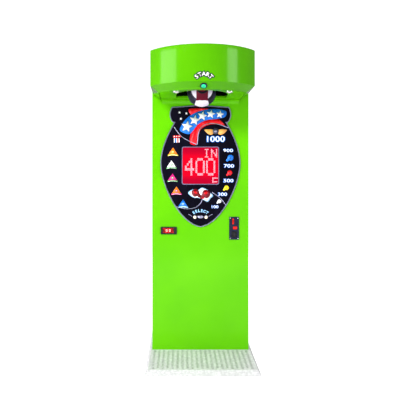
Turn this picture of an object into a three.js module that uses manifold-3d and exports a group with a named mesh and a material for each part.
// Boxing punch machine: a tall cabinet with a curved head, a punch ball on a swinging arm, a scoring
// fascia, a coin unit and a tread-plate platform. Millimetres, +Z up, the front faces -Y, and the
// origin is on the floor under the middle of the machine.

import * as THREE from 'three';
import { mergeVertices } from 'three/addons/utils/BufferGeometryUtils.js';
import Module from 'manifold-3d';

const wasm = await Module();
wasm.setup();

// ---- Driving dimensions ---------------------------------------------------------------------------

const GAP = 0.3; // kept between touching pieces
const HALF = 372; // half the cabinet's width
const TOP = 2250; // top of the machine
const DEPTH = 600; // cabinet, front face to back
const PANEL = 18; // cabinet panels
const PLATFORM = 22; // height of the platform's top

const HEAD_HALF = 366; // half the head's width
const HEAD_REACH = 535; // head, front of the cabinet to the crown of the curve
const HEAD_RISE = 183; // rise of the curve over its chord
const HEAD_WALL = 5;
const LIP = 1954; // underside of the head
const BAND = 1999; // foot of the upright band, where the chamfer starts
const CHAMFER = 58; // how far the chamfer leans in
const SOFFIT = 15; // thickness of the panel under the head

const PIVOT_REACH = 420; // ball arm's axle, ahead of the cabinet's face
const PIVOT_HEIGHT = 2004;
const ARM_TILT = THREE.MathUtils.degToRad(6.7); // droop of the arm when it is held up
const AXLE_RADIUS = 10;
const AXLE_HALF = 236;
const BALL_RADIUS = 107;
const BALL_WIDEST = 212; // from the axle to the ball's widest section
const BALL_TIP = 315; // from the axle to the ball's tip
const NECK = 100; // from the axle to the ball's mouth

const WHEEL_RADIUS = 30;
const WHEEL_BACK = 36; // wheel's axle behind the cabinet
const REAR = DEPTH + WHEEL_BACK + WHEEL_RADIUS;
const FACE_Y = (HEAD_REACH - REAR) / 2; // plane of the cabinet's front face

const ROUND = 24; // sides of a turned piece
const FINE = 16; // sides of a small turned piece

const HEAD_RADIUS = (HEAD_HALF ** 2 + HEAD_RISE ** 2) / (2 * HEAD_RISE);
const HEAD_CENTRE = HEAD_REACH - HEAD_RADIUS; // centre of the curve, ahead of the face

// ---- Materials ------------------------------------------------------------------------------------

const finish = (color, roughness, metalness) =>
  new THREE.MeshStandardMaterial({ color, roughness, metalness });

const GREEN = () => finish(0x75da00, 0.22, 0);
const GREEN_WOOD = () => finish(0x6fcf05, 0.28, 0);
const BLACK_GLOSS = () => finish(0x0c0a16, 0.12, 0);
const BLACK_MATTE = () => finish(0x17171c, 0.6, 0);
const NAVY = () => finish(0x141a33, 0.35, 0);
const SILVER = () => finish(0xa9a8cf, 0.3, 0.8);
const STEEL = () => finish(0x8b8f94, 0.4, 1);
const CHROME = () => finish(0xe6e7ea, 0.12, 1);
const ALUMINIUM = () => finish(0xd9dadc, 0.35, 0.9);
const RUBBER = () => finish(0x1d1d1f, 0.9, 0);
const RED_LENS = () => finish(0xd8002c, 0.15, 0);
const LEATHER = () => finish(0xd9cfee, 0.55, 0);
const PLYWOOD = () => finish(0xb18d5e, 0.75, 0);
const CIRCUIT = () => finish(0x1f5a3a, 0.5, 0);

// ---- Shape helpers --------------------------------------------------------------------------------

const machine = new THREE.Group();

// Distance ahead of the cabinet's face, as a Y coordinate.
const ahead = (distance) => FACE_Y - distance;

// Merged vertices, no flat triangles, faces pointing out.
function closed(geometry) {
  geometry.deleteAttribute('normal');
  geometry.deleteAttribute('uv');
  const merged = mergeVertices(geometry, 1e-4);
  const position = merged.attributes.position;
  const kept = [];
  let volume = 0;
  const [a, b, c] = [new THREE.Vector3(), new THREE.Vector3(), new THREE.Vector3()];
  for (let i = 0; i < merged.index.count; i += 3) {
    const corner = [0, 1, 2].map((step) => merged.index.getX(i + step));
    if (new Set(corner).size === 3) {
      kept.push(corner);
      a.fromBufferAttribute(position, corner[0]);
      b.fromBufferAttribute(position, corner[1]);
      c.fromBufferAttribute(position, corner[2]);
      volume += a.dot(b.cross(c));
    }
  }
  merged.setIndex((volume < 0 ? kept.map((corner) => corner.reverse()) : kept).flat());
  return merged;
}

function toSolid(geometry) {
  const ready = closed(geometry);
  const vertProperties = new Float32Array(ready.attributes.position.array);
  const triVerts = new Uint32Array(ready.index.array);
  return new wasm.Manifold(new wasm.Mesh({ numProp: 3, vertProperties, triVerts }));
}

function toGeometry(solid) {
  const mesh = solid.getMesh();
  const geometry = new THREE.BufferGeometry();
  geometry.setAttribute('position', new THREE.BufferAttribute(mesh.vertProperties, 3));
  geometry.setIndex(Array.from(mesh.triVerts));
  return geometry;
}

// The first geometry with the others cut out of it.
function cut(base, ...tools) {
  const left = tools.reduce((solid, tool) => solid.subtract(toSolid(tool)), toSolid(base));
  return toGeometry(left);
}

// Overlapping geometries welded into one body.
function weld(...pieces) {
  return toGeometry(pieces.map(toSolid).reduce((whole, piece) => whole.add(piece)));
}

// Places a piece and names it. The parent is the whole machine unless another group is given.
function add(name, geometry, material, place = [0, 0, 0], turn = [0, 0, 0], parent = machine) {
  geometry.computeVertexNormals();
  const mesh = new THREE.Mesh(geometry, material);
  mesh.name = name;
  mesh.position.set(...place);
  mesh.rotation.set(...turn);
  parent.add(mesh);
  return mesh;
}

// A box between two corners, in the machine's own frame.
function block(low, high) {
  const size = high.map((value, axis) => value - low[axis]);
  const middle = high.map((value, axis) => (value + low[axis]) / 2);
  return closed(new THREE.BoxGeometry(...size)).translate(...middle);
}

// A box centred on its own origin, placed between two corners.
function addBlock(name, material, low, high, parent = machine) {
  const size = high.map((value, axis) => value - low[axis]);
  const middle = high.map((value, axis) => (value + low[axis]) / 2);
  add(name, closed(new THREE.BoxGeometry(...size)), material, middle, [0, 0, 0], parent);
}

// A box given by distances ahead of the face: [x, ahead, z] of its back low and front high corners.
const shelfBox = (low, high) => [
  [low[0], ahead(high[1]), low[2]],
  [high[0], ahead(low[1]), high[2]],
];

// A flat outline in X and Z made into a plate whose back is at Y = 0 and whose front is at -thickness.
function upright(shape, thickness, curveSegments = 12) {
  const settings = { depth: thickness, bevelEnabled: false, curveSegments };
  const geometry = new THREE.ExtrudeGeometry(shape, settings);
  return closed(geometry.rotateX(Math.PI / 2));
}

// A flat outline in X and Y made into a plate that rises from Z = 0.
function level(shape, thickness, curveSegments = 12) {
  return closed(new THREE.ExtrudeGeometry(shape, { depth: thickness, bevelEnabled: false, curveSegments }));
}

// An outline in Y and Z carried along X, centred on X = 0.
function across(shape, length, curveSegments = 12) {
  const geometry = new THREE.ExtrudeGeometry(shape, { depth: length, bevelEnabled: false, curveSegments });
  const turn = new THREE.Matrix4().makeBasis(
    new THREE.Vector3(0, 1, 0),
    new THREE.Vector3(0, 0, 1),
    new THREE.Vector3(1, 0, 0),
  );
  return closed(geometry.applyMatrix4(turn).translate(-length / 2, 0, 0));
}

const outline = (points) => new THREE.Shape(points.map(([x, y]) => new THREE.Vector2(x, y)));

// Rectangle with round corners, about (x, y).
function roundedRectangle(width, height, radius, x = 0, y = 0, Kind = THREE.Shape) {
  const path = new Kind();
  const [w, h] = [width / 2, height / 2];
  path.moveTo(x - w + radius, y - h);
  path.lineTo(x + w - radius, y - h);
  path.absarc(x + w - radius, y - h + radius, radius, -Math.PI / 2, 0);
  path.lineTo(x + w, y + h - radius);
  path.absarc(x + w - radius, y + h - radius, radius, 0, Math.PI / 2);
  path.lineTo(x - w + radius, y + h);
  path.absarc(x - w + radius, y + h - radius, radius, Math.PI / 2, Math.PI);
  path.lineTo(x - w, y - h + radius);
  path.absarc(x - w + radius, y - h + radius, radius, Math.PI, 1.5 * Math.PI);
  return path;
}

function roundHole(x, y, radius) {
  const path = new THREE.Path();
  path.absarc(x, y, radius, 0, 2 * Math.PI);
  return path;
}

// A profile of [radius, height] pairs turned about the Y axis.
function turned(profile, sides = ROUND) {
  return closed(new THREE.LatheGeometry(profile.map(([r, h]) => new THREE.Vector2(r, h)), sides));
}

// The same, closing on itself: a ring.
const ring = (profile, sides = ROUND) => turned([...profile, profile[0]], sides);

const rod = (radius, length, sides = ROUND) =>
  closed(new THREE.CylinderGeometry(radius, radius, length, sides));

// Shapes that face forwards are turned about Y with their height along -Y.
const FACING = [Math.PI, 0, 0];
const UPRIGHT_AXIS = [Math.PI / 2, 0, 0];
const CROSS_AXIS = [0, 0, Math.PI / 2];

// ---- Platform and base ----------------------------------------------------------------------------

const TREAD_HALF = 382; // half the width of the tread plate's top
const TREAD_REACH = 385; // front edge of the top, ahead of the face
const FOOT_HALF = 403;
const FOOT_REACH = 446;
const TREAD_BACK = DEPTH - 20;
const TREAD_SHEET = 3;
const BAR = 40; // width of the base frame's bars
const FRAME_HALF = 374;
const FRAME_FRONT = 374;
const FRAME_BACK = TREAD_BACK - 8;
const CROSS_BARS = 4; // openings between the base frame's bars

// A closed body through outlines of equal point counts, one above another. Each outline is convex.
function loft(levels) {
  const count = levels[0].points.length;
  const position = levels.flatMap(({ height, points }) =>
    points.flatMap(([x, forward]) => [x, ahead(forward), height]));
  const index = [];
  for (let row = 0; row < levels.length - 1; row += 1) {
    for (let i = 0; i < count; i += 1) {
      const [a, b] = [row * count + i, row * count + ((i + 1) % count)];
      index.push(a, b, b + count, a, b + count, a + count);
    }
  }
  const last = (levels.length - 1) * count;
  for (let i = 1; i < count - 1; i += 1) {
    index.push(0, i + 1, i, last, last + i, last + i + 1);
  }
  const geometry = new THREE.BufferGeometry();
  geometry.setAttribute('position', new THREE.BufferAttribute(new Float32Array(position), 3));
  geometry.setIndex(index);
  return closed(geometry);
}

const rectangle = (half, front, back) => [[-half, -back], [half, -back], [half, front], [-half, front]];

function treadPlate() {
  const slope = (FOOT_HALF - TREAD_HALF) / PLATFORM;
  const ramp = (FOOT_REACH - TREAD_REACH) / PLATFORM;
  const outer = loft([
    { height: GAP, points: rectangle(FOOT_HALF - GAP * slope, FOOT_REACH - GAP * ramp, TREAD_BACK) },
    { height: PLATFORM, points: rectangle(TREAD_HALF, TREAD_REACH, TREAD_BACK) },
  ]);
  const low = -1; // the hollow is cut from just below the floor
  const high = PLATFORM - TREAD_SHEET;
  const sideWall = TREAD_SHEET * Math.hypot(1, slope);
  const frontWall = TREAD_SHEET * Math.hypot(1, ramp);
  const halfAt = (height) => FOOT_HALF - sideWall - height * slope;
  const frontAt = (height) => FOOT_REACH - frontWall - height * ramp;
  const inner = loft([
    { height: low, points: rectangle(halfAt(low), frontAt(low), TREAD_BACK - TREAD_SHEET) },
    { height: high, points: rectangle(halfAt(high), frontAt(high), TREAD_BACK - TREAD_SHEET) },
  ]);
  return cut(outer, inner);
}

function baseFrame() {
  const shape = outline(rectangle(FRAME_HALF, FRAME_FRONT, FRAME_BACK).map(([x, f]) => [x, -f]));
  const pitch = (FRAME_FRONT + FRAME_BACK - BAR) / CROSS_BARS;
  for (let i = 0; i < CROSS_BARS; i += 1) {
    const middle = FRAME_BACK - BAR - i * pitch - (pitch - BAR) / 2;
    shape.holes.push(roundedRectangle(2 * (FRAME_HALF - BAR), pitch - BAR, 0.1, 0, middle, THREE.Path));
  }
  return level(shape, PLATFORM - TREAD_SHEET - GAP, 2);
}

add('tread_plate', treadPlate(), ALUMINIUM());
add('base_frame', baseFrame(), STEEL(), [0, FACE_Y, 0]);

// ---- Cabinet --------------------------------------------------------------------------------------

const FOOT = PLATFORM + GAP; // underside of the cabinet
const INNER = HALF - PANEL; // inside face of a side panel
const DISPLAY_HEIGHT = 1446; // middle of the score display
const DISPLAY_HOLE = 262;
const SELECT_SPREAD = 43.4;
const SELECT_HEIGHT = 1048;
const SELECT_BARREL = 11;
const COIN_X = 260.4;
const COIN_HEIGHT = 962;
const CREDIT_X = -245;
const CREDIT_HEIGHT = 944;
const HATCH = [560, 246, 2096]; // opening behind the head: width, height, middle

function frontPanel() {
  const shape = roundedRectangle(2 * HALF, TOP - FOOT, 1, 0, (TOP + FOOT) / 2);
  shape.holes.push(
    roundedRectangle(DISPLAY_HOLE, DISPLAY_HOLE, 6, 0, DISPLAY_HEIGHT, THREE.Path),
    roundedRectangle(60, 152, 4, COIN_X, COIN_HEIGHT - 4, THREE.Path),
    roundedRectangle(104, 40, 3, CREDIT_X, CREDIT_HEIGHT, THREE.Path),
    roundedRectangle(HATCH[0], HATCH[1], 12, 0, HATCH[2], THREE.Path),
    roundHole(-SELECT_SPREAD, SELECT_HEIGHT, SELECT_BARREL + 0.8),
    roundHole(SELECT_SPREAD, SELECT_HEIGHT, SELECT_BARREL + 0.8),
  );
  return upright(shape, PANEL, 5);
}

add('front_panel', frontPanel(), GREEN(), [0, FACE_Y + PANEL, 0]);

const SIDE_FRONT = -PANEL - GAP; // side panels start behind the front panel
const BACK = -DEPTH;
for (const [name, side] of [['left', -1], ['right', 1]]) {
  const [low, high] = side < 0 ? [-HALF, -INNER] : [INNER, HALF];
  addBlock(`${name}_side_panel`, GREEN_WOOD(), ...shelfBox([low, BACK, FOOT], [high, SIDE_FRONT, TOP]));
}

// A board that spans the cabinet between its side panels.
const span = (name, material, back, front, low, high) =>
  addBlock(name, material, ...shelfBox([-INNER + GAP, back, low], [INNER - GAP, front, high]));

const REAR_SILL_TOP = 96;
const DOOR_BOTTOM = REAR_SILL_TOP + 2;
const DOOR_TOP = 1500;
span('bottom_panel', PLYWOOD(), BACK + PANEL + GAP, SIDE_FRONT, FOOT, FOOT + PANEL);
span('top_panel', GREEN_WOOD(), BACK, SIDE_FRONT, TOP - PANEL, TOP);
span('rear_sill', GREEN_WOOD(), BACK, BACK + PANEL, FOOT, REAR_SILL_TOP);
span('rear_upper_panel', GREEN_WOOD(), BACK, BACK + PANEL, DOOR_TOP + 2, TOP - PANEL - GAP);

const SHELF = 1100;
const SHELF_BOARD = 15;
span('equipment_shelf', PLYWOOD(), BACK + 90, SIDE_FRONT - 10, SHELF, SHELF + SHELF_BOARD);

// ---- Rear door ------------------------------------------------------------------------------------

const KNUCKLE = 6;
const HINGE_X = -INNER;
const HINGE_Y = ahead(BACK) + KNUCKLE + 0.5;
const DOOR_LEFT = -INNER + 1.5;
const DOOR_RIGHT = INNER - 1.5;
const LOCK_X = 310;
const LOCK_HEIGHT = 820;
const LOCK_RADIUS = 11;
const LOUVRES = 6;

function rearDoor() {
  const middle = (DOOR_TOP + DOOR_BOTTOM) / 2;
  const shape = roundedRectangle(DOOR_RIGHT - DOOR_LEFT, DOOR_TOP - DOOR_BOTTOM, 3, 0, middle);
  shape.holes.push(roundHole(LOCK_X, LOCK_HEIGHT, LOCK_RADIUS + 1.2));
  for (let i = 0; i < LOUVRES; i += 1) {
    shape.holes.push(roundedRectangle(300, 9, 4.4, 0, 1300 + i * 22, THREE.Path));
  }
  return upright(shape, PANEL, 5);
}

add('rear_door', rearDoor(), GREEN_WOOD(), [0, ahead(BACK), 0]);
for (const [name, height] of [['lower', 260], ['upper', 1340]]) {
  // Each hinge: a knuckle on its pin, with a leaf that lies behind the door.
  const leaf = block([0, -KNUCKLE, -45], [46, -KNUCKLE + 2.5, 45]);
  const hinge = weld(rod(KNUCKLE, 90, FINE).rotateX(Math.PI / 2), leaf);
  add(`${name}_door_hinge`, hinge, STEEL(), [HINGE_X, HINGE_Y, height]);
}
const lockBody = turned(
  [[0, -34], [LOCK_RADIUS, -34], [LOCK_RADIUS, GAP], [15, GAP], [14, 5], [0, 5]], FINE);
add('door_lock', lockBody, CHROME(), [LOCK_X, ahead(BACK), LOCK_HEIGHT]);
addBlock('lock_cam', STEEL(), ...shelfBox(
  [LOCK_X - 8, BACK + 34 + GAP, LOCK_HEIGHT - 10], [LOCK_X + 8, BACK + 38, LOCK_HEIGHT + 38]));

// ---- Transport wheels and mains inlet -------------------------------------------------------------

const WHEEL_X = 280;
const WHEEL_HEIGHT = WHEEL_RADIUS + 9;
for (const [name, side] of [['left', -1], ['right', 1]]) {
  const plate = block([-36, 0, -14], [36, 4, 52]);
  const ears = [-1, 1].map((ear) => {
    const low = Math.min(ear * 17, ear * 21);
    return block([low, 3, -9], [low + 4, WHEEL_BACK + 10, 14]);
  });
  const pin = rod(5, 40, FINE).rotateZ(Math.PI / 2).translate(0, WHEEL_BACK, 0);
  add(`${name}_wheel_bracket`, weld(plate, ...ears, pin), STEEL(),
    [side * WHEEL_X, ahead(BACK) + GAP, WHEEL_HEIGHT]);
  const tyre = ring([[5.4, -14], [26, -14], [WHEEL_RADIUS, -10], [WHEEL_RADIUS, 10], [26, 14], [5.4, 14]]);
  add(`${name}_transport_wheel`, tyre, RUBBER(),
    [side * WHEEL_X, ahead(BACK) + GAP + WHEEL_BACK, WHEEL_HEIGHT], CROSS_AXIS);
}
const inletShape = roundedRectangle(50, 30, 3);
const inlet = cut(
  upright(inletShape, 8, 2), upright(roundedRectangle(28, 18, 3), 6, 2).translate(0, 1, 0));
add('mains_inlet', inlet, BLACK_MATTE(), [0, ahead(BACK) + 8 + GAP, 58]);

// ---- Head -----------------------------------------------------------------------------------------

const HEAD_STEPS = 26; // facets along the head's curve
const HEAD_BACK = GAP; // the head starts just ahead of the face
const CROWN_ROUND = 8;
const CHAMFER_HEIGHT = BAND - LIP;
const LIP_INSET = CHAMFER + HEAD_WALL;

// Plan of the head, drawn in by an inset: a curve in front, straight sides, and a flat back.
function headPlan(inset, back = HEAD_BACK) {
  const side = HEAD_HALF - inset;
  const radius = HEAD_RADIUS - inset;
  const spread = Math.asin(side / radius);
  const points = [];
  for (let i = 0; i <= HEAD_STEPS; i += 1) {
    const angle = spread * (1 - (2 * i) / HEAD_STEPS);
    points.push([radius * Math.sin(angle), HEAD_CENTRE + radius * Math.cos(angle)]);
  }
  return [...points, [-side, back], [side, back]];
}

const START_REACH = HEAD_REACH - 0.55 * CHAMFER;
const START_HEIGHT = BAND - 0.55 * CHAMFER_HEIGHT;
// Turns a button's axis square to the chamfer.
const START_TURN = [Math.atan2(-CHAMFER, -CHAMFER_HEIGHT), 0, 0];
const START_BARREL = 18;
const BUTTON_FLANGE = 25;

function headShell() {
  const outer = loft([
    { height: LIP, points: headPlan(CHAMFER) },
    { height: BAND, points: headPlan(0) },
    { height: TOP - CROWN_ROUND, points: headPlan(0) },
    { height: TOP - CROWN_ROUND * 0.3, points: headPlan(CROWN_ROUND * 0.3) },
    { height: TOP, points: headPlan(CROWN_ROUND) },
  ]);
  const inner = loft([
    { height: LIP - 1, points: headPlan(LIP_INSET, -1) },
    { height: LIP, points: headPlan(LIP_INSET, -1) },
    { height: BAND, points: headPlan(HEAD_WALL, -1) },
    { height: TOP - HEAD_WALL, points: headPlan(HEAD_WALL, -1) },
  ]);
  const startHole = rod(START_BARREL + 0.8, 80, FINE).rotateX(START_TURN[0])
    .translate(0, ahead(START_REACH), START_HEIGHT);
  return cut(outer, inner, startHole);
}

add('head_shell', headShell(), GREEN());

const LIGHT_X = 184;
const LIGHT_REACH = 392;
const LIGHT_BODY = 20;
const MOUTH_HALF = 186; // opening for the ball
const MOUTH_BACK = 100;
const MOUTH_MIDDLE = 240;
const MOUTH_FRONT = 441;

function soffitPanel() {
  const shape = outline(headPlan(LIP_INSET + GAP).map(([x, forward]) => [x, -forward]));
  const mouth = new THREE.Path();
  mouth.moveTo(-MOUTH_HALF, -MOUTH_BACK);
  mouth.lineTo(-MOUTH_HALF, -MOUTH_MIDDLE);
  mouth.absellipse(0, -MOUTH_MIDDLE, MOUTH_HALF, MOUTH_FRONT - MOUTH_MIDDLE, Math.PI, 2 * Math.PI);
  mouth.lineTo(MOUTH_HALF, -MOUTH_BACK);
  shape.holes.push(mouth);
  for (const side of [-1, 1]) {
    shape.holes.push(roundHole(side * LIGHT_X, -LIGHT_REACH, LIGHT_BODY + GAP));
  }
  return level(shape, SOFFIT, 20);
}

add('soffit_panel', soffitPanel(), GREEN(), [0, FACE_Y, LIP]);

const COVE = 34; // radius of the cove under the head
const COVE_HALF = 298;
const COVE_EDGE = 1.5;
const coveShape = new THREE.Shape();
coveShape.moveTo(0, 0);
coveShape.lineTo(-COVE - COVE_EDGE, 0);
coveShape.lineTo(-COVE - COVE_EDGE, -COVE_EDGE);
coveShape.absarc(-COVE - COVE_EDGE, -COVE - COVE_EDGE, COVE, Math.PI / 2, 0, true);
coveShape.lineTo(0, -COVE - COVE_EDGE);
add('cove_moulding', across(coveShape, 2 * COVE_HALF, 8), GREEN(), [0, FACE_Y - GAP, LIP - GAP]);

for (const [name, side] of [['left', -1], ['right', 1]]) {
  const lamp = turned([[0, 1], [16.5, 1], [16.5, -3], [24, -3], [25, -1], [25, -GAP], [LIGHT_BODY, -GAP],
    [LIGHT_BODY, 26], [0, 26]]);
  add(`${name}_downlight`, lamp, CHROME(), [side * LIGHT_X, ahead(LIGHT_REACH), LIP], UPRIGHT_AXIS);
}

// ---- Buttons --------------------------------------------------------------------------------------

// A bezel's ring: a flange that stands on the surface, and a barrel that passes through it.
const buttonBezel = (bore, barrel, flange, rise, depth, lift) => ring([
  [bore, -depth], [barrel, -depth], [barrel, lift], [flange, lift],
  [flange, lift + rise * 0.5], [flange - rise * 0.4, lift + rise], [bore, lift + rise]]);

// A plunger with a slightly domed cap.
const plunger = (radius, depth, proud) => turned([
  [0, -depth], [radius * 0.6, -depth], [radius * 0.6, -depth * 0.5], [radius, -depth * 0.5],
  [radius, proud - 1], [radius * 0.8, proud], [0, proud + 1]]);

const START_PLACE = [0, ahead(START_REACH), START_HEIGHT];
add('start_button_bezel', buttonBezel(16.4, START_BARREL, BUTTON_FLANGE, 5, 40, 1.2), NAVY(),
  START_PLACE, START_TURN);
add('start_button', plunger(16, 34, 9), finish(0x00c98a, 0.2, 0), START_PLACE, START_TURN);

// ---- Fascia ---------------------------------------------------------------------------------------

const FASCIA = 6;
const TRIM_WIDTH = 9;
const TRIM_DEPTH = 9;

// Outline of the scoring fascia: a shield over a long pointed oval.
function fasciaShape() {
  const shape = new THREE.Shape();
  shape.moveTo(0, 980);
  shape.bezierCurveTo(160, 1005, 300, 1300, 300, 1466);
  shape.bezierCurveTo(300, 1580, 240, 1700, 191, 1783);
  shape.lineTo(211, 1785);
  shape.lineTo(218, 1799);
  shape.quadraticCurveTo(240, 1842, 216, 1892);
  shape.quadraticCurveTo(90, 1899, 0, 1909);
  shape.quadraticCurveTo(-90, 1899, -216, 1892);
  shape.quadraticCurveTo(-240, 1842, -218, 1799);
  shape.lineTo(-211, 1785);
  shape.lineTo(-191, 1783);
  shape.bezierCurveTo(-240, 1700, -300, 1580, -300, 1466);
  shape.bezierCurveTo(-300, 1300, -160, 1005, 0, 980);
  return shape;
}

// Points moved along the outline's own normals; the outline runs anticlockwise, so plus is outward.
function offset(points, distance) {
  return points.map((point, i) => {
    const before = points[(i + points.length - 1) % points.length];
    const after = points[(i + 1) % points.length];
    const run = new THREE.Vector2().subVectors(after, before).normalize();
    return new THREE.Vector2(point.x + run.y * distance, point.y - run.x * distance);
  });
}

const fasciaPoints = fasciaShape().getPoints(9).slice(0, -1);

function fasciaPanel() {
  const shape = new THREE.Shape(fasciaPoints);
  shape.holes.push(
    roundedRectangle(278, 283, 12, 0, DISPLAY_HEIGHT, THREE.Path),
    roundHole(-SELECT_SPREAD, SELECT_HEIGHT, SELECT_BARREL + 0.8),
    roundHole(SELECT_SPREAD, SELECT_HEIGHT, SELECT_BARREL + 0.8),
  );
  return upright(shape, FASCIA, 6);
}

function fasciaTrim() {
  const shape = new THREE.Shape(offset(fasciaPoints, TRIM_WIDTH));
  shape.holes.push(new THREE.Path(offset(fasciaPoints, GAP)));
  return upright(shape, TRIM_DEPTH, 6);
}

add('fascia_panel', fasciaPanel(), BLACK_GLOSS(), [0, FACE_Y - GAP, 0]);
add('fascia_trim', fasciaTrim(), SILVER(), [0, FACE_Y - GAP, 0]);

const displayFrame = roundedRectangle(290, 295, 16, 0, DISPLAY_HEIGHT);
displayFrame.holes.push(roundedRectangle(276, 281, 11, 0, DISPLAY_HEIGHT, THREE.Path));
add('display_frame', upright(displayFrame, 2, 6), SILVER(), [0, FACE_Y - 2 * GAP - FASCIA, 0]);
add('display_window', upright(roundedRectangle(277, 282, 11.5, 0, DISPLAY_HEIGHT), 4, 6), RED_LENS(),
  [0, FACE_Y - GAP, 0]);
addBlock('led_board', CIRCUIT(), ...shelfBox(
  [-125, -PANEL - 12, DISPLAY_HEIGHT - 125], [125, -1, DISPLAY_HEIGHT + 125]));

for (const [name, side] of [['left', -1], ['right', 1]]) {
  const place = [side * SELECT_SPREAD, FACE_Y - GAP - FASCIA, SELECT_HEIGHT];
  add(`${name}_select_bezel`, buttonBezel(9.4, SELECT_BARREL, 15.5, 3, 44, GAP), CHROME(), place, FACING);
  add(`${name}_select_button`, plunger(9, 38, 5), finish(0xfff2d8, 0.25, 0), place, FACING);
}

// ---- Credit display -------------------------------------------------------------------------------

const creditFrame = roundedRectangle(124, 57, 4, 0, 0);
creditFrame.holes.push(roundedRectangle(86, 40, 2, -4, 0, THREE.Path));
add('credit_bezel', upright(creditFrame, 7, 4), BLACK_MATTE(), [CREDIT_X, FACE_Y - GAP, CREDIT_HEIGHT]);
add('credit_window', upright(roundedRectangle(85, 39, 1.8), 3, 4), RED_LENS(),
  [CREDIT_X - 4, FACE_Y - GAP, CREDIT_HEIGHT]);

// ---- Coin unit ------------------------------------------------------------------------------------

const COIN_PLATE = [76, 176, 4];
const ENTRY = [-8, 53]; // slanted coin entry, from the plate's middle
const ENTRY_SLANT = 0.13;
const REJECT = [7, 3];
const RETURN = [0, -48];
const FLAP = [38, 44];

function coinPlate() {
  const shape = roundedRectangle(COIN_PLATE[0], COIN_PLATE[1], 4);
  shape.holes.push(
    roundedRectangle(13, 44, 4, ENTRY[0], ENTRY[1], THREE.Path),
    roundedRectangle(32, 21, 2, REJECT[0], REJECT[1], THREE.Path),
    roundedRectangle(FLAP[0] + 2, FLAP[1] + 2, 2, RETURN[0], RETURN[1], THREE.Path),
  );
  return upright(shape, COIN_PLATE[2], 3);
}

add('coin_plate', coinPlate(), NAVY(), [COIN_X, FACE_Y - GAP, COIN_HEIGHT]);

// Coin entry: a red insert with a slanted slot through it.
const entryShape = roundedRectangle(12, 43, 3.5);
const slot = new THREE.Path([[-1.6, -15], [1.6, -15], [1.6, 15], [-1.6, 15]].map(
  ([x, y]) => new THREE.Vector2(x - y * ENTRY_SLANT, y)));
entryShape.holes.push(slot);
add('coin_entry', upright(entryShape, 9, 4), finish(0xd01018, 0.3, 0),
  [COIN_X + ENTRY[0], FACE_Y - GAP, COIN_HEIGHT + ENTRY[1]]);
add('reject_button', upright(roundedRectangle(31, 20, 1.8), 26, 4), finish(0xff2a10, 0.2, 0),
  [COIN_X + REJECT[0], FACE_Y + 18, COIN_HEIGHT + REJECT[1]]);

// Return flap: hangs from a rod along its top edge, and is pushed in by a finger.
const FLAP_AXIS_Z = COIN_HEIGHT + RETURN[1] + FLAP[1] / 2 - 3;
const FLAP_Y = FACE_Y + 5;
const flap = weld(
  block([-FLAP[0] / 2, -1.5, 3 - FLAP[1]], [FLAP[0] / 2, 1.5, 0]),
  rod(3, FLAP[0], FINE).rotateZ(Math.PI / 2),
);
add('return_flap', flap, BLACK_MATTE(), [COIN_X + RETURN[0], FLAP_Y, FLAP_AXIS_Z]);

const MECH_BOTTOM = COIN_HEIGHT + RETURN[1] + FLAP[1] / 2 + 6;
addBlock('coin_selector', BLACK_MATTE(), ...shelfBox(
  [COIN_X - 27, -150, MECH_BOTTOM], [COIN_X + 27, -PANEL - 14, COIN_HEIGHT + 64]));
const CHUTE_TOP = MECH_BOTTOM - GAP;
const BOX_TOP = 260;
const chute = cut(
  block([-26, -20, 0], [26, 20, CHUTE_TOP - BOX_TOP - 1]),
  block([-23, -17, -1], [23, 17, CHUTE_TOP - BOX_TOP]),
);
add('coin_chute', chute, STEEL(), [COIN_X, ahead(-125), BOX_TOP + 1]);

const CASH = [230, 240, BOX_TOP - FOOT - PANEL - GAP];
const cashBox = cut(
  block([-CASH[0] / 2, -CASH[1] / 2, 0], [CASH[0] / 2, CASH[1] / 2, CASH[2]]),
  block([-CASH[0] / 2 + 3, -CASH[1] / 2 + 3, 3], [CASH[0] / 2 - 3, CASH[1] / 2 - 3, CASH[2] + 1]),
);
add('cash_box', cashBox, STEEL(), [INNER - 6 - CASH[0] / 2, ahead(-165), FOOT + PANEL + GAP]);

// ---- Electronics ----------------------------------------------------------------------------------

const BOARD_TOP = SHELF + SHELF_BOARD + GAP;
addBlock('power_supply', STEEL(), ...shelfBox([-300, -420, BOARD_TOP], [-150, -220, BOARD_TOP + 60]));
addBlock('control_board', CIRCUIT(), ...shelfBox([-60, -440, BOARD_TOP], [220, -200, BOARD_TOP + 24]));

// ---- Punch mechanism ------------------------------------------------------------------------------

const CHEEK = 214; // inside face of a mechanism cheek
const CHEEK_SHEET = 6;
const CROSSBAR = [2120, 2146];
const cheekProfile = [[250, 1976], [-400, 1976], [-444, 2000], [-444, 2040], [-360, 2150], [250, 2150]];
const crossbars = [[316, 392], [60, 90], [-220, -190]];

function mechanismFrame() {
  const cheeks = [-1, 1].map((side) => across(outline(cheekProfile), CHEEK_SHEET)
    .translate(side * (CHEEK + CHEEK_SHEET / 2), FACE_Y, 0));
  const bars = crossbars.map(([back, front]) =>
    block(...shelfBox([-CHEEK - 1, back, CROSSBAR[0]], [CHEEK + 1, front, CROSSBAR[1]])));
  const drop = block(...shelfBox([-30, 326, 2078], [30, 388, CROSSBAR[0] + 1]));
  const rails = [-80, -240].map((back) =>
    block(...shelfBox([-INNER + GAP, back, 1944], [INNER - GAP, back + 40, 1978])));
  const hole = rod(16, 600, FINE).rotateZ(Math.PI / 2).translate(0, ahead(PIVOT_REACH), PIVOT_HEIGHT);
  return cut(weld(...cheeks, ...bars, drop, ...rails), hole);
}

add('mechanism_frame', mechanismFrame(), STEEL());

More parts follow.
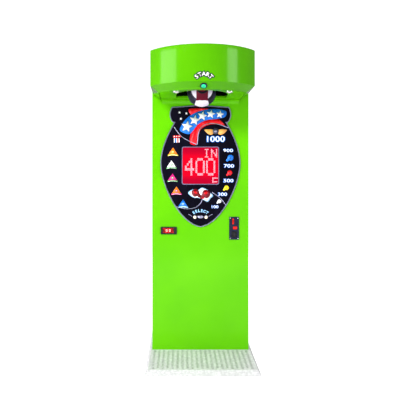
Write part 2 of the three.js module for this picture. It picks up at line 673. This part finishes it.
const PIVOT = [0, ahead(PIVOT_REACH), PIVOT_HEIGHT];
const bearing = ring([[AXLE_RADIUS + GAP, -3], [AXLE_RADIUS + GAP, 9], [15, 9], [15.5, -GAP], [22, -GAP],
  [22, -3]]);
for (const [name, side] of [['left', -1], ['right', 1]]) {
  const place = [side * (CHEEK - GAP), PIVOT[1], PIVOT[2]];
  add(`${name}_axle_bearing`, bearing.clone(), STEEL(), place, [0, 0, (-side * Math.PI) / 2]);
}
add('arm_axle', rod(AXLE_RADIUS, 2 * AXLE_HALF), CHROME(), PIVOT, CROSS_AXIS);

// The arm, the ball and what holds them, along the arm's own +Y, which runs back from the axle.
const arm = new THREE.Group();
arm.position.set(...PIVOT);
arm.rotation.x = -ARM_TILT;
machine.add(arm);

const ARM_RADIUS = 12;
const HUB_RADIUS = 22;
const hub = ring([[AXLE_RADIUS + GAP, -30], [HUB_RADIUS, -30], [HUB_RADIUS, 30], [AXLE_RADIUS + GAP, 30]]);
add('arm_hub', hub, STEEL(), [0, 0, 0], CROSS_AXIS, arm);
const armLength = NECK - 6 - HUB_RADIUS - GAP;
add('arm_tube', rod(ARM_RADIUS, armLength, FINE), CHROME(),
  [0, HUB_RADIUS + GAP + armLength / 2, 0], [0, 0, 0], arm);
const collar = ring([[ARM_RADIUS + GAP, NECK - 22], [20, NECK - 22], [23, NECK - 6], [23, NECK - 1],
  [ARM_RADIUS + GAP, NECK - 1]], FINE);
add('ball_collar', collar, finish(0x6e0a28, 0.5, 0), [0, 0, 0], [0, 0, 0], arm);

// The ball: an ellipse from its widest section to its tip, and a cosine blend down to its mouth.
function ballProfile() {
  const points = [[0, NECK]];
  const mouth = 26;
  const rows = 7;
  for (let i = 0; i <= rows; i += 1) {
    const t = i / rows;
    const radius = mouth + (BALL_RADIUS - mouth) * Math.sin((t * Math.PI) / 2);
    points.push([radius, NECK + (BALL_WIDEST - NECK) * t]);
  }
  for (let i = 1; i < rows; i += 1) {
    const angle = (i / rows) * (Math.PI / 2);
    points.push([BALL_RADIUS * Math.cos(angle), BALL_WIDEST + (BALL_TIP - BALL_WIDEST) * Math.sin(angle)]);
  }
  return [...points, [0, BALL_TIP]];
}

add('punch_ball', turned(ballProfile(), 24), LEATHER(), [0, 0, 0], [0, 0, 0], arm);
const DISC_X = 120;
const DISC_RADIUS = 31;
const DISC_BORE = AXLE_RADIUS + GAP;
const discProfile = [[DISC_BORE, -1], [DISC_RADIUS, -1], [DISC_RADIUS, 1], [DISC_BORE, 1]];
add('sensor_disc', ring(discProfile), BLACK_MATTE(), [DISC_X, 0, 0], CROSS_AXIS, arm);

// What holds the arm up stands on the frame, but is turned to meet the arm.
const held = new THREE.Group();
held.position.copy(arm.position);
held.rotation.copy(arm.rotation);
machine.add(held);
const PLATE_TOP = 24;
add('armature_plate', closed(new THREE.BoxGeometry(44, 20, 6)), STEEL(), [0, 64, ARM_RADIUS + GAP + 3],
  [0, 0, 0], arm);
const MAGNET_TOP = 78;
add('holding_magnet', rod(10, MAGNET_TOP - PLATE_TOP, FINE), STEEL(),
  [0, 64, (MAGNET_TOP + PLATE_TOP) / 2 - 4], UPRIGHT_AXIS, held);
addBlock('arm_bumper', RUBBER(), [-14, 32, ARM_RADIUS + 1], [14, 48, MAGNET_TOP - 4], held);

// Fork over the slotted disc, on an arm from the cheek.
const fork = outline([[110, 30], [117, 30], [117, 42], [123, 42], [123, 30], [130, 30], [130, 42],
  [CHEEK - GAP, 42], [CHEEK - GAP, 56], [110, 56]]);
add('swing_sensor', upright(fork, 24), BLACK_MATTE(), [0, PIVOT[1] + 12, PIVOT_HEIGHT]);

export default machine;
